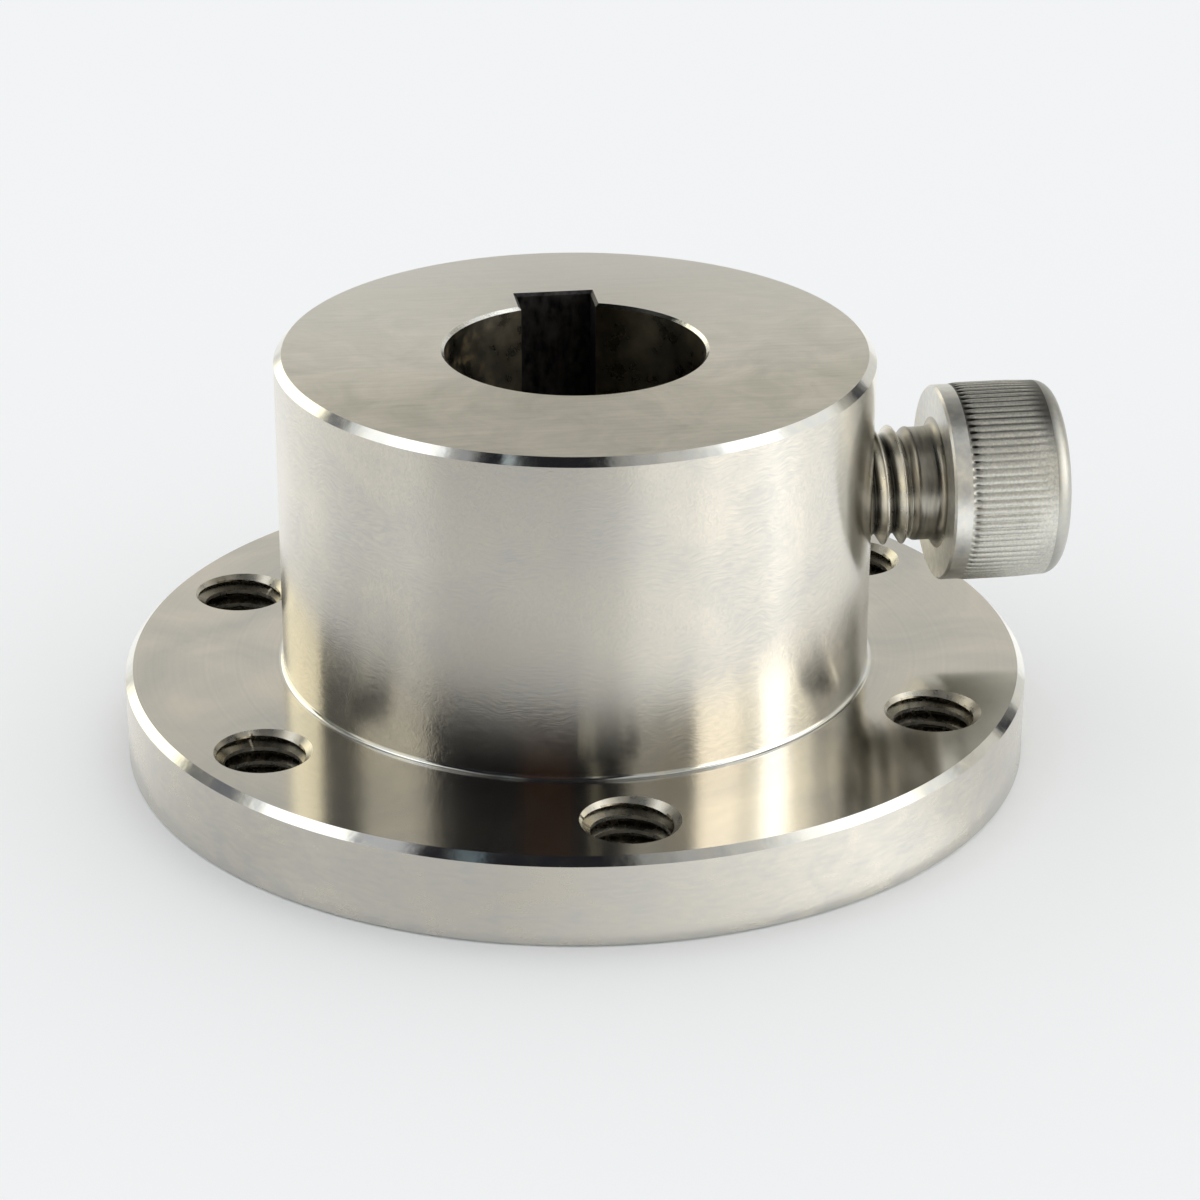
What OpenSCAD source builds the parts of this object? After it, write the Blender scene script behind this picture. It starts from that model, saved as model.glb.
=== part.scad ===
// Keyed flange hub with a lock screw in its barrel.
// The origin is the centre of the bore on the underside of the flange. +Z runs up the bore,
// +X along the lock screw and +Y towards the keyway.

/* [Flange] */
// Outer diameter of the flange
flange_d = 60; // [54:1:80]
// Thickness of the flange
flange_t = 6; // [4:0.5:12]

/* [Barrel] */
// Outer diameter of the barrel
barrel_d = 39; // [32:0.5:42]
// Height of the barrel above the flange
barrel_h = 21.5; // [15:0.5:40]
// Radius in the corner between the barrel and the flange
corner_r = 0.3; // [0.1:0.1:1]

/* [Edges] */
// Width of the 45 degree chamfers on the upper edges of the barrel and the flange
edge_chamfer = 0.5; // [0.2:0.1:1.5]
// Width of the 45 degree edge break round the underside of the flange
foot_chamfer = 0.2; // [0.1:0.1:1]
// Width of the 45 degree chamfer at both ends of the bore
bore_chamfer = 0.2; // [0.1:0.1:1]

/* [Bore and keyway] */
// Diameter of the bore
bore_d = 17; // [12:0.5:24]
// Width of the keyway, which is that of its key
key_w = 5; // [3:0.5:8]
// Depth of the keyway beyond the wall of the bore
key_depth = 2.3; // [1.4:0.1:3.3]
// Width of the edge break round both ends of the keyway
key_break = 0.2; // [0.1:0.1:0.5]

/* [Flange holes] */
// Number of tapped holes in the flange
bolt_count = 6; // [3:1:8]
// Distance of the tapped holes outwards from the middle of the flange's land round the barrel
bolt_offset = 0.25; // [-0.3:0.05:0.3]
// Diameter inside the thread of a tapped hole
bolt_hole_d = 5; // [3:0.1:5.5]
// Diameter of the countersink at both ends of a tapped hole
bolt_sink_d = 6.3; // [5.8:0.1:7]

/* [Lock screw] */
// Diameter of the screw's shank over its thread
screw_d = 8; // [5:1:9]
// Length of the shank under the head
screw_length = 12; // [8:1:15]
// Space between the barrel and the head, as the screw stands at rest
screw_gap = 4.6; // [1:0.1:9]
// Space all round between the shank and its hole
screw_clearance = 0.05; // [0.01:0.01:0.1]
// Width of the countersink round the screw's hole
screw_sink = 0.65; // [0.4:0.05:1.2]
// Width of the chamfer on the tip of the shank
tip_chamfer = 0.8; // [0.2:0.1:1.5]
// Radius in the corner between the shank and the head
neck_r = 0.4; // [0.1:0.1:0.5]

/* [Screw head] */
// Diameter of the head on its smooth band
head_d = 13; // [12:0.5:16]
// Height of the head
head_h = 8; // [6:0.5:12]
// Width of the smooth band next to the bearing face
band_w = 1.2; // [0.8:0.1:2]
// Chamfer on the edge of the bearing face
face_chamfer = 0.15; // [0.05:0.05:0.3]
// Radius of the rounded rim at the far end of the head
rim_r = 1.1; // [0.4:0.1:1.5]
// Number of ribs in the knurl
rib_count = 80; // [60:1:90]
// Height that the ribs stand above the smooth band
rib_proud = 0.14; // [0.05:0.01:0.2]
// Depth of the grooves between the ribs, from the ribs' crests
rib_depth = 0.3; // [0.2:0.05:0.4]
// Width of the hexagon socket across its flats
socket_af = 6; // [4:0.5:7]
// Depth of the hexagon socket
socket_depth = 4.3; // [3:0.1:5]
// Width of the 45 degree lead-in at the mouth of the socket, beyond its flats
socket_lead = 0.6; // [0.3:0.1:1]

/* [Hidden] */

$fn = 96;
// Cuts run this far past the faces that they open.
past = 1;
// The colour of the bare steel
steel = [0.74, 0.73, 0.70];
bright_steel = [0.78, 0.77, 0.75];

flange_r = flange_d / 2;
barrel_r = barrel_d / 2;
bore_r = bore_d / 2;
hub_h = flange_t + barrel_h;

// The keyway's floor lies this far from the axis of the bore.
key_floor = bore_r + key_depth;

// Radius of the circle that the tapped holes lie on
bolt_circle_r = (barrel_r + flange_r) / 2 + bolt_offset;
bolt_r = bolt_hole_d / 2;
bolt_sink_r = bolt_sink_d / 2;
bolt_sink_depth = bolt_sink_r - bolt_r;

// The lock screw stands half way up the barrel.
screw_z = flange_t + barrel_h / 2;
screw_r = screw_d / 2;
screw_hole_r = screw_r + screw_clearance;
screw_face_x = barrel_r + screw_gap;

head_r = head_d / 2;
rib_crest_r = head_r + rib_proud;
rib_root_r = rib_crest_r - rib_depth;
// The ribs end where the rim of the head begins to round.
rib_length = head_h - band_w - rim_r;
socket_r = socket_af / 2 / cos(30);
// The drill leaves a cone of 120 degrees at the bottom of the socket.
socket_point = socket_af / 2 * tan(30);

// Half section of the turned body: flange, barrel and the radius between them
module hub_section() {
    polygon([
        [0, 0],
        [flange_r - foot_chamfer, 0],
        [flange_r, foot_chamfer],
        [flange_r, flange_t - edge_chamfer],
        [flange_r - edge_chamfer, flange_t],
        [barrel_r, flange_t],
        [barrel_r, hub_h - edge_chamfer],
        [barrel_r - edge_chamfer, hub_h],
        [0, hub_h]
    ]);
    translate([barrel_r, flange_t])
        difference() {
            square(corner_r);
            translate([corner_r, corner_r]) circle(corner_r);
        }
}

// Half section of what the boring bar takes out, with a chamfer at each end
module bore_section() {
    polygon([
        [0, -past],
        [bore_r + bore_chamfer + past, -past],
        [bore_r, bore_chamfer],
        [bore_r, hub_h - bore_chamfer],
        [bore_r + bore_chamfer + past, hub_h + past],
        [0, hub_h + past]
    ]);
}

// One end of the keyway's edge break, flaring upwards from z = 0 on both walls and on the floor
module key_flare() {
    rise = key_break + past;
    intersection() {
        rotate([90, 0, 180])
            linear_extrude(key_floor + rise)
                polygon([
                    [-key_w / 2, 0],
                    [key_w / 2, 0],
                    [key_w / 2 + rise, rise],
                    [-key_w / 2 - rise, rise]
                ]);
        rotate([90, 0, 90])
            linear_extrude(key_w + 2 * rise, center = true)
                polygon([
                    [0, 0],
                    [key_floor, 0],
                    [key_floor + rise, rise],
                    [0, rise]
                ]);
    }
}

// The broached keyway, right through the hub
module keyway() {
    translate([-key_w / 2, 0, -past])
        cube([key_w, key_floor, hub_h + 2 * past]);
    translate([0, 0, hub_h - key_break])
        key_flare();
    translate([0, 0, key_break])
        mirror([0, 0, 1])
            key_flare();
}

// One tapped hole of the flange, standing on the origin, with a 90 degree countersink at each end
module tapped_hole() {
    rotate_extrude()
        polygon([
            [0, -past],
            [bolt_sink_r + past, -past],
            [bolt_r, bolt_sink_depth],
            [bolt_r, flange_t - bolt_sink_depth],
            [bolt_sink_r + past, flange_t + past],
            [0, flange_t + past]
        ]);
}

// The tapped holes, the first of them in line with the keyway
module bolt_holes() {
    for (i = [0:bolt_count - 1])
        rotate([0, 0, 90 + i * 360 / bolt_count])
            translate([bolt_circle_r, 0, 0])
                tapped_hole();
}

// The hole through the barrel's wall that the lock screw runs in, with its countersink
module screw_hole() {
    sink_rise = screw_sink + past;
    translate([0, 0, screw_z])
        rotate([0, 90, 0]) {
            cylinder(r = screw_hole_r, h = barrel_r + past);
            translate([0, 0, barrel_r - screw_sink])
                cylinder(r1 = screw_hole_r, r2 = screw_hole_r + sink_rise, h = sink_rise);
        }
}

module hub() {
    color(steel)
        difference() {
            rotate_extrude() hub_section();
            rotate_extrude() bore_section();
            keyway();
            bolt_holes();
            screw_hole();
        }
}

// Half section of the shank and the head's smooth band: x is the radius, y runs up from the tip
module shank_section() {
    polygon([
        [0, 0],
        [screw_r - tip_chamfer, 0],
        [screw_r, tip_chamfer],
        [screw_r, screw_length],
        [head_r - face_chamfer, screw_length],
        [head_r, screw_length + face_chamfer],
        [head_r, screw_length + band_w],
        [0, screw_length + band_w]
    ]);
    translate([screw_r, screw_length - neck_r])
        difference() {
            square(neck_r);
            translate([neck_r, 0]) circle(neck_r);
        }
}

// Outline of the knurl across the head: each rib has a flat crest, and each groove a narrow floor
module knurl_outline() {
    pitch = 360 / rib_count;
    crest = pitch * 0.3;
    floor_w = pitch * 0.1;
    groove = (pitch + crest) / 2;
    polygon([
        for (
            i = [0:rib_count - 1],
            p = [
                [0, rib_crest_r],
                [crest, rib_crest_r],
                [groove - floor_w / 2, rib_root_r],
                [groove + floor_w / 2, rib_root_r]
            ]
        )
            p[1] * [cos(i * pitch + p[0]), sin(i * pitch + p[0])]
    ]);
}

// The straight knurl, between the smooth band and the rim
module knurl() {
    translate([0, 0, screw_length + band_w])
        linear_extrude(rib_length)
            knurl_outline();
}

// The rounded rim round the mouth of the socket
module rim() {
    translate([0, 0, screw_length + head_h - rim_r])
        rotate_extrude() {
            square([head_r - rim_r, rim_r]);
            translate([head_r - rim_r, 0])
                intersection() {
                    circle(rim_r);
                    square(rim_r);
                }
        }
}

// The hexagon socket, cut in from the rim end, with the cone that its drill leaves
module hex_socket() {
    lead_rise = socket_lead + past;
    translate([0, 0, screw_length + head_h - socket_depth]) {
        cylinder(r = socket_r, h = socket_depth + past, $fn = 6);
        translate([0, 0, -socket_point])
            cylinder(r1 = 0, r2 = socket_af / 2, h = socket_point);
        translate([0, 0, socket_depth - socket_lead])
            cylinder(r1 = socket_af / 2, r2 = socket_af / 2 + lead_rise, h = lead_rise);
    }
}

module lock_screw() {
    color(bright_steel)
        translate([screw_face_x - screw_length, 0, screw_z])
            rotate([0, 90, 0])
                difference() {
                    union() {
                        rotate_extrude() shank_section();
                        knurl();
                        rim();
                    }
                    hex_socket();
                }
}

hub();
lock_screw();
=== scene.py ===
"""Dressed model of a keyed flange hub with a knurled lock screw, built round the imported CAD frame."""
import math

import bpy
import numpy as np
from bpy.props import FloatProperty, FloatVectorProperty, IntProperty, PointerProperty
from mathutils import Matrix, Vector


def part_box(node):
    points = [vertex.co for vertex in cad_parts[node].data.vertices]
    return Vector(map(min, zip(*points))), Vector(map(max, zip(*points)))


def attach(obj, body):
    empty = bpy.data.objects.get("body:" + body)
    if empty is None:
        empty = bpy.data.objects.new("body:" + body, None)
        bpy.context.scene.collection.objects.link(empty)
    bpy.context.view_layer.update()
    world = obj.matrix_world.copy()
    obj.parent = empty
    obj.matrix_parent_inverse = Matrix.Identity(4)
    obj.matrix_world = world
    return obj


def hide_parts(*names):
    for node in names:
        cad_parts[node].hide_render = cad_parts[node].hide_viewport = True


bl_info = {
    "name": "Keyed hub",
    "version": (1, 0, 0),
    "blender": (4, 5, 0),
    "location": "3D View > Sidebar > Keyed hub",
    "description": "Turned steel hub with a keyed bore, tapped flange holes and a knurled lock screw",
    "category": "Add Mesh",
}

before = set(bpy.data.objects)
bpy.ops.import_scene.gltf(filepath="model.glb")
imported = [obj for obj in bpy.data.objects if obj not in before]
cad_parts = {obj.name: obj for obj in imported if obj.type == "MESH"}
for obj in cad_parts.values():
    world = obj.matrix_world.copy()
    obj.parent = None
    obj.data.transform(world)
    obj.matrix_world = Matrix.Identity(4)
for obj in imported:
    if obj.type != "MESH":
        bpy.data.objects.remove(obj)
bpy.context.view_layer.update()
HUB_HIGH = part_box("hub")[1]
SCREW_LOW, SCREW_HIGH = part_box("lock_screw")
# Height of the line that the lock screw is turned round
SCREW_HEIGHT = (SCREW_LOW.z + SCREW_HIGH.z) / 2

MM = 0.001
TURN = 2 * math.pi
# Vertices of neighbouring patches that round to the same multiple of this are one vertex. The shift, a part
# of it, keeps round sizes off the edges of the rounding.
WELD = 1e-7
WELD_SHIFT = 0.137
# Columns round the hub's axis, a sixth of them for each flange hole
COLUMNS = 384
SECTOR = COLUMNS // 6
# The keyway is centred on this column, a quarter turn from the lock screw.
KEY_COLUMN = COLUMNS // 4


def linear(code):
    """An sRGB hex colour as the linear colour that shaders take."""
    srgb = [int(code[k:k + 2], 16) / 255 for k in (1, 3, 5)]
    return [c / 12.92 if c <= 0.04045 else ((c + 0.055) / 1.055) ** 2.4 for c in srgb]


def length(name, description, mm):
    return FloatProperty(name=name, description=description, default=mm * MM, unit="LENGTH", precision=4)


def degrees(name, description, default):
    return FloatProperty(name=name, description=description, default=math.radians(default), subtype="ANGLE")


def colour(name, description, code):
    return FloatVectorProperty(
        name=name, description=description, default=linear(code), size=3, min=0, max=1, subtype="COLOR")


class HubSizes(bpy.types.PropertyGroup):
    flange_radius: length("Flange radius", "Radius of the flange", HUB_HIGH.y / MM)
    flange_thickness: length("Flange thickness", "Thickness of the flange", 6)
    barrel_radius: length("Barrel radius", "Radius of the barrel", 19.5)
    height: length("Height", "Height of the hub from its underside to the barrel's end", HUB_HIGH.z / MM)
    corner: length("Corner radius", "Radius in the corner between barrel and flange", 0.3)
    chamfer: length("Chamfer", "Width of the chamfers on the barrel and flange", 0.5)
    foot_chamfer: length("Foot chamfer", "Edge break round the underside", 0.2)
    bore_radius: length("Bore radius", "Radius of the bore", 8.5)
    bore_chamfer: length("Bore chamfer", "Chamfer at both ends of the bore", 0.2)
    key_half: length("Half key width", "Half the width of the keyway", 2.5)
    key_floor: length("Keyway floor", "Distance of the keyway's floor from the axis", 10.8)
    key_break: length("Keyway edge break", "Edge break round the ends of the keyway", 0.2)
    hole_circle: length("Hole circle radius", "Radius of the circle of tapped holes", 25)
    hole_crest: length("Hole crest radius", "Radius inside the thread of a flange hole", 2.5)
    hole_root: length("Hole root radius", "Radius at the bottom of that thread", 3)
    hole_sink: length("Hole countersink radius", "Radius of the flange holes' countersinks", 3.15)
    hole_pitch: length("Hole pitch", "Pitch of the flange holes' thread", 1)


class ScrewSizes(bpy.types.PropertyGroup):
    hole_radius: length("Screw hole radius", "Radius inside the thread of the screw's hole", 4.05)
    hole_sink: length("Screw hole countersink", "Width of that hole's countersink", 0.65)
    pitch: length("Pitch", "Pitch of the screw's thread", 1.25)
    crest: length("Thread crest radius", "Radius over the screw's thread", 3.98)
    root: length("Thread root radius", "Radius at the bottom of the thread", 3.25)
    neck: length("Neck radius", "Radius of the plain neck under the head", 3.78)
    shank: length("Shank length", "Length under the head", 12)
    tip: length("Tip chamfer", "Chamfer on the tip", 0.8)
    head: length("Head radius", "Radius of the head on its smooth band", 6.5)
    head_height: length("Head height", "Height of the head", 8)
    band: length("Band width", "Width of the smooth band", 1.2)
    rim: length("Rim radius", "Rounding of the head's rim", 1.1)
    rib_crest: length("Rib crest radius", "Radius over the ribs of the knurl", 6.58)
    rib_root: length("Rib root radius", "Radius at the bottom of the knurl's grooves", 6.5)
    ribs: IntProperty(name="Ribs", description="Number of ribs in the knurl", default=80, min=12, max=120)
    socket_flat: length("Socket half width", "Half the width of the hexagon socket over flats", 3)
    socket_depth: length("Socket depth", "Depth of the hexagon socket", 4.3)
    socket_lead: length("Socket lead-in", "Width of the lead-in at the socket's mouth", 0.6)


class Finishes(bpy.types.PropertyGroup):
    turned: colour("Turned steel", "Colour of the fine turned stainless steel", "#cbc8c1")
    cut: colour("Cut edge", "Colour of the freshly cut chamfers", "#d8d8d4")
    bored: colour("Bore", "Colour of the bored wall, which is dull with oil", "#7f7a6e")
    stain: colour("Bore stain", "Colour of the oil that has dried in the bore", "#94783c")
    keyway: colour("Keyway", "Colour of the broached keyway", "#4e4d50")
    tapped: colour("Tapped holes", "Colour of the thread in the flange holes", "#c4c0b4")
    # The grooves' darker colour is painted shade.
    groove: colour("Tapped grooves", "Colour of the oily grooves of that thread", "#8f8a7d")
    screw: colour("Screw steel", "Colour of the screw's stainless steel", "#dadad7")
    knurl: colour("Screw knurl", "Colour of the knurl's dull ribs", "#cbcbc6")
    # The rim's colour is darker than the screw's steel, a painted dimming of its highlight.
    rim: colour("Screw rim", "Colour of the head's worn rim", "#adada9")
    thread: colour("Screw thread", "Colour of the rolled thread's flanks", "#e4e1d8")
    # The neck's colour is darker than the screw's steel: a dull finish, and painted shade under the head.
    neck: colour("Screw neck", "Colour of the dull neck under the head", "#a5a29a")


class StageLook(bpy.types.PropertyGroup):
    background: colour("Background", "Colour of the floor and of what is behind it", "#f2f4f5")
    distance: length("Camera distance", "Distance of the camera from the point it looks at", 248.85)
    aim: length("Aim height", "Height of the point that the camera looks at", 8.77)
    azimuth: degrees("Azimuth", "Turn of the camera round the hub", -7.8)
    elevation: degrees("Elevation", "Camera's angle over the floor", 24.27)


# Surfaces

class Axis:
    """A line that surfaces are turned round. It runs through origin along its third direction, which is +Z
    unless said, and angles round it count from its first direction towards its second."""

    def __init__(self, origin, directions=np.eye(3)):
        self.origin = np.array(origin, float)
        self.directions = np.array(directions, float)

    def direction(self, out, angle, up):
        """A vector with a part out from the line and a part along it."""
        parts = np.broadcast_arrays(out * np.cos(angle), out * np.sin(angle), up)
        return np.stack(parts, axis=-1) @ self.directions

    def point(self, radius, angle, height):
        return self.origin + self.direction(radius, angle, height)


HUB_AXIS = Axis([0, 0, 0])


def quads(rows, columns):
    """The corners of each quad between rows and columns of points."""
    index = np.arange(rows * columns).reshape(rows, columns)
    return np.stack([index[:-1, :-1], index[:-1, 1:], index[1:, 1:], index[1:, :-1]], axis=-1).reshape(-1, 4)


def put(name, data):
    """A new object in the scene, at the origin."""
    piece = bpy.data.objects.new(name, data)
    bpy.context.scene.collection.objects.link(piece)
    return piece


class Skin:
    """The patches of one closed surface, welded where they meet."""

    def __init__(self):
        self.points = []
        self.corners = []
        self.normals = []
        self.finish = []
        self.count = 0

    def add_faces(self, points, corners, normals, finish):
        """Adds quads, or triangles that name their last corner twice, with a normal for each corner. Quads
        that face away from their normals are turned round."""
        across = points[corners[:, 2]] - points[corners[:, 0]]
        along = points[corners[:, 3]] - points[corners[:, 1]]
        if np.einsum("ij,ij->", np.cross(across, along), normals.mean(axis=1)) < 0:
            corners = corners[:, ::-1]
            normals = normals[:, ::-1]
        self.points.append(points)
        self.corners.append(corners + self.count)
        self.normals.append(normals)
        self.finish.append(np.full(len(corners), finish))
        self.count += len(points)

    def grid(self, points, normals, finish):
        """Adds the quads between rows and columns of points. normals holds one for each point, or four for
        each quad."""
        corners = quads(*points.shape[:2])
        if normals.ndim == 3:
            normals = normals.reshape(-1, 3)[corners]
        self.add_faces(points.reshape(-1, 3), corners, normals.reshape(-1, 4, 3), finish)

    def fan(self, fine, coarse, fine_normals, coarse_normals, finish):
        """Joins a ring of points to one with a whole number of times fewer. Half of the fine steps over a
        coarse step end on its first point and the others on its last."""
        count = len(coarse) - 1
        steps = (len(fine) - 1) // count
        own = np.arange(count * steps)
        near = own // steps + (own % steps >= steps // 2) + len(fine)
        turn = np.arange(count)
        middle = turn * steps + steps // 2
        points = np.concatenate([fine, coarse])
        normals = np.concatenate([fine_normals, coarse_normals])
        first = turn + len(fine)
        for corners in (np.stack([own, own + 1, near, near], axis=1),
                        np.stack([middle, first + 1, first, first], axis=1)):
            self.add_faces(points, corners, normals[corners], finish)

    def profile(self, axis, line, angle, finish):
        """Turns a line of (radius, height) round an axis, straight from point to point. The normal of each
        piece is its own direction turned by a quarter, so that the line's corners stay crisp."""
        for (r0, h0), (r1, h1) in zip(line[:-1], line[1:]):
            size = math.hypot(r1 - r0, h1 - h0)
            points = axis.point(np.array([[r0], [r1]]), angle[None, :], np.array([[h0], [h1]]))
            facing = axis.direction((h1 - h0) / size, angle, (r0 - r1) / size)
            self.grid(points, np.broadcast_to(facing, points.shape), finish)

    def arc(self, axis, centre, radius, turns, angle, outward, finish):
        """Turns an arc round an axis. Its points lie at the given turns round its centre, and its normals
        point along its radius, or against it for a hollow corner."""
        turns = np.asarray(turns)[:, None]
        points = axis.point(
            centre[0] + radius * np.cos(turns), angle[None, :], centre[1] + radius * np.sin(turns))
        self.grid(points, axis.direction(
            outward * np.cos(turns), angle[None, :], outward * np.sin(turns)), finish)

    def build(self, name, materials):
        """Welds the patches by rounding their points, drops the corners that fall together, and makes the
        object, with the patches' own normals."""
        points = np.concatenate(self.points)
        key = np.round(points / WELD + WELD_SHIFT).astype(np.int64)
        _, first, index = np.unique(key, axis=0, return_index=True, return_inverse=True)
        corners = index.reshape(-1)[np.concatenate(self.corners)]
        kept = corners != np.roll(corners, -1, axis=1)
        whole = kept.sum(axis=1) > 2
        kept &= whole[:, None]
        totals = kept.sum(axis=1)[whole]
        normals = np.concatenate(self.normals)[kept]
        mesh = bpy.data.meshes.new(name)
        mesh.vertices.add(len(first))
        mesh.vertices.foreach_set("co", points[first].astype(np.float32).ravel())
        mesh.loops.add(len(normals))
        mesh.loops.foreach_set("vertex_index", corners[kept].astype(np.int32))
        mesh.polygons.add(len(totals))
        mesh.polygons.foreach_set("loop_start", (np.cumsum(totals) - totals).astype(np.int32))
        mesh.polygons.foreach_set("material_index", np.concatenate(self.finish)[whole].astype(np.int32))
        mesh.polygons.foreach_set("use_smooth", np.ones(len(totals), dtype=bool))
        mesh.update(calc_edges=True)
        mesh.normals_split_custom_set(normals / np.linalg.norm(normals, axis=1, keepdims=True))
        for material in materials:
            mesh.materials.append(material)
        return put(name, mesh)


def smoothstep(value, low, high):
    """0 up to low and 1 from high on, with a smooth S between them: t squared times three less twice t."""
    t = np.clip((value - low) / (high - low), 0, 1)
    return t * t * (3 - 2 * t)


def column_angles(first, last):
    """The angles of the hub's columns from one to another, both included."""
    return np.arange(first, last + 1) * TURN / COLUMNS


def window(low, high, columns, rows):
    """The outline of a window between two corners, in even steps: along the first parameter from the low
    corner, up the second, and back to the start."""
    u = np.linspace(low[0], high[0], columns + 1)
    v = np.linspace(low[1], high[1], rows + 1)
    sides = [
        (u[:-1], np.full(columns, v[0])), (np.full(rows, u[-1]), v[:-1]),
        (u[:0:-1], np.full(columns, v[-1])), (np.full(rows, u[0]), v[:0:-1])]
    ring = np.concatenate([np.stack(side, axis=1) for side in sides])
    return np.concatenate([ring, ring[:1]])


def window_turn(columns, rows):
    """Even angles round a hole, in step with the points of its window's outline."""
    count = 2 * (columns + rows)
    return -TURN / 4 + (np.arange(count + 1) - columns / 2) * TURN / count


def holed(skin, hole, outline, place, finish):
    """The face between a hole and the window round it. Rings of points lie at three shares of the straight
    way from one to the other, and next to the hole every second point drops out. place turns the two
    parameters of the face into points and normals."""
    t = np.array([0.15, 0.55, 1.0])[:, None, None]
    points, normals = place((1 - t) * hole + t * outline)
    skin.grid(points, normals, finish)
    edge, edge_normals = place(hole[::2])
    skin.fan(points[0], edge, normals[0], edge_normals, finish)


def helix(low, high, pitch, angle, breaks, shift=0.0):
    """Rows of a screw thread between two ends. A row climbs by one pitch in a turn, and in each pitch the
    rows lie at the breaks of the thread's profile. A shift lowers them all. Returns the points' places, held
    between the ends, and the part of the pitch that each row lies at."""
    first = math.floor(np.min(low + shift) / pitch - np.max(angle) / TURN)
    last = math.ceil(np.max(high + shift) / pitch - np.min(angle) / TURN) + 1
    start = (np.arange(first, last)[:, None] + np.asarray(breaks)[None, :]).reshape(-1, 1)
    phase = np.tile(breaks, last - first)[:, None]
    return np.clip((start + angle / TURN) * pitch, low + shift, high + shift) - shift, phase


def outwards(face, radial):
    """Unit vectors along the given ones or against them, whichever is away from the axis. Those of faces
    without area are radial."""
    side = np.sign(np.einsum("ijk,ijk->ij", face, radial))[..., None]
    face = face * side + radial * 1e-9
    return face / np.linalg.norm(face, axis=-1, keepdims=True)


def tapped_wall(skin, axis, radius, angle, place, shaded):
    """The wall of a tapped hole. Each quad's own normal is averaged with its neighbours' round the turn only,
    so that the thread's edges stay crisp. Its shaded points, in the thread's grooves, get a darker finish of
    their own: painted shade."""
    points = axis.point(radius, angle, place)
    face = np.cross(points[1:, 1:] - points[:-1, :-1], points[1:, :-1] - points[:-1, 1:])
    face = -outwards(face, (points - axis.point(0, angle, place))[:-1, :-1])
    left = face + np.roll(face, 1, axis=1)
    right = face + np.roll(face, -1, axis=1)
    finish = np.where(shaded, SHADED_GROOVE, TAPPED)[:-1, :-1].ravel()
    skin.grid(points, np.stack([left, right, right, left], axis=2), finish)


def rolled(axis, radius, angle, place):
    """A smooth grid that closes round its turn, and its normals: the cross product of its slopes along the
    rows and round the columns, facing away from the axis."""
    points = axis.point(radius, angle, place)
    ring = points[:, :-1]
    face = np.cross(np.gradient(ring, axis=0), np.roll(ring, -1, axis=1) - np.roll(ring, 1, axis=1))
    face = outwards(face, ring - axis.point(0, angle, place)[:, :-1])
    return points, np.concatenate([face, face[:, :1]], axis=1)


# Finishes

# Colours laid over the steel: painted shade at the barrel's foot, a painted sheen on the end face, the torn
# burr on the bore's lip, and painted shade in the screw's grooves and pits
PAINTED_FOOT_SHADE = linear("#59554b")
PAINTED_SHEEN = linear("#f6f6f6")
BURR = linear("#30302e")
PAINTED_GROOVE_SHADE = linear("#272521")


def add(tree, kind, inputs=(), output=0, **settings):
    """Adds a node with its settings and returns one of its outputs. The inputs come by name or in the node's
    own order. Each is a number, a colour, or the output that it links to."""
    node = tree.nodes.new("ShaderNode" + kind)
    for name, value in settings.items():
        setattr(node, name, value)
    for name, value in inputs.items() if isinstance(inputs, dict) else enumerate(inputs):
        if isinstance(value, bpy.types.NodeSocket):
            tree.links.new(value, node.inputs[name])
        else:
            node.inputs[name].default_value = value
    return node.outputs[output] if node.outputs else None


def empty_tree(data):
    """The node tree of a new material or world, with nothing in it yet."""
    data.use_nodes = True
    data.node_tree.nodes.clear()
    return data.node_tree


def metal(name, axis=None, stretch=0.0):
    """A new metal finish, with its node tree, its shader and the object's own coordinates. Where a tool ran
    round an axis, its fine grooves draw what is reflected out across themselves."""
    material = bpy.data.materials.new(name)
    tree = empty_tree(material)
    inputs = {"Metallic": 1.0}
    if axis:
        tangent = add(tree, "Tangent", direction_type="RADIAL", axis=axis)
        inputs.update({"Tangent": tangent, "Anisotropic": stretch, "Anisotropic Rotation": 0.25})
    surface = add(tree, "BsdfPrincipled", inputs)
    add(tree, "OutputMaterial", {"Surface": surface})
    return material, tree, surface.node, add(tree, "TexCoord", output="Object")


def tones(base, amount):
    """The colour a little darker and cooler, and a little lighter and warmer."""
    dark = [c * (1 - amount) * k for c, k in zip(base, (0.975, 1.0, 1.045))]
    light = [min(1, c * (1 + amount) * k) for c, k in zip(base, (1.015, 1.0, 0.97))]
    return dark, light


def dress(tree, shader, pattern, shades, roughness, relief, depth):
    """Colour and roughness follow a pattern, which mostly lies between 0.3 and 0.7, from the first of two
    shades and values to the second. The relief raises the surface by up to the depth."""
    even = add(tree, "MapRange", (pattern, 0.3, 0.7))
    shade = add(tree, "Mix", {0: even, 6: (*shades[0], 1), 7: (*shades[1], 1)}, 2, data_type="RGBA")
    rough = add(tree, "MapRange", (even, 0, 1, *roughness))
    bump = add(tree, "Bump", {"Height": relief, "Strength": 1.0, "Distance": depth})
    for name, value in (("Base Color", shade), ("Roughness", rough), ("Normal", bump)):
        tree.links.new(value, shader.inputs[name])


def cover(tree, shader, amount, over):
    """Lays a colour over a dressed metal's own, by an amount from 0 to 1."""
    base = shader.inputs["Base Color"]
    shade = add(tree, "Mix", {0: amount, 6: base.links[0].from_socket, 7: (*over, 1)}, 2, data_type="RGBA")
    tree.links.new(shade, base)


def off_line(tree, place, point, across):
    """How far a place is from a line through a point. across is 0 along the line's own axis and 1 along the
    two others: the length of what is left of the way from the point."""
    away = add(tree, "VectorMath", (place, point), operation="SUBTRACT")
    flat = add(tree, "VectorMath", (away, across), operation="MULTIPLY")
    return add(tree, "VectorMath", (flat,), 1, operation="LENGTH")


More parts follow.
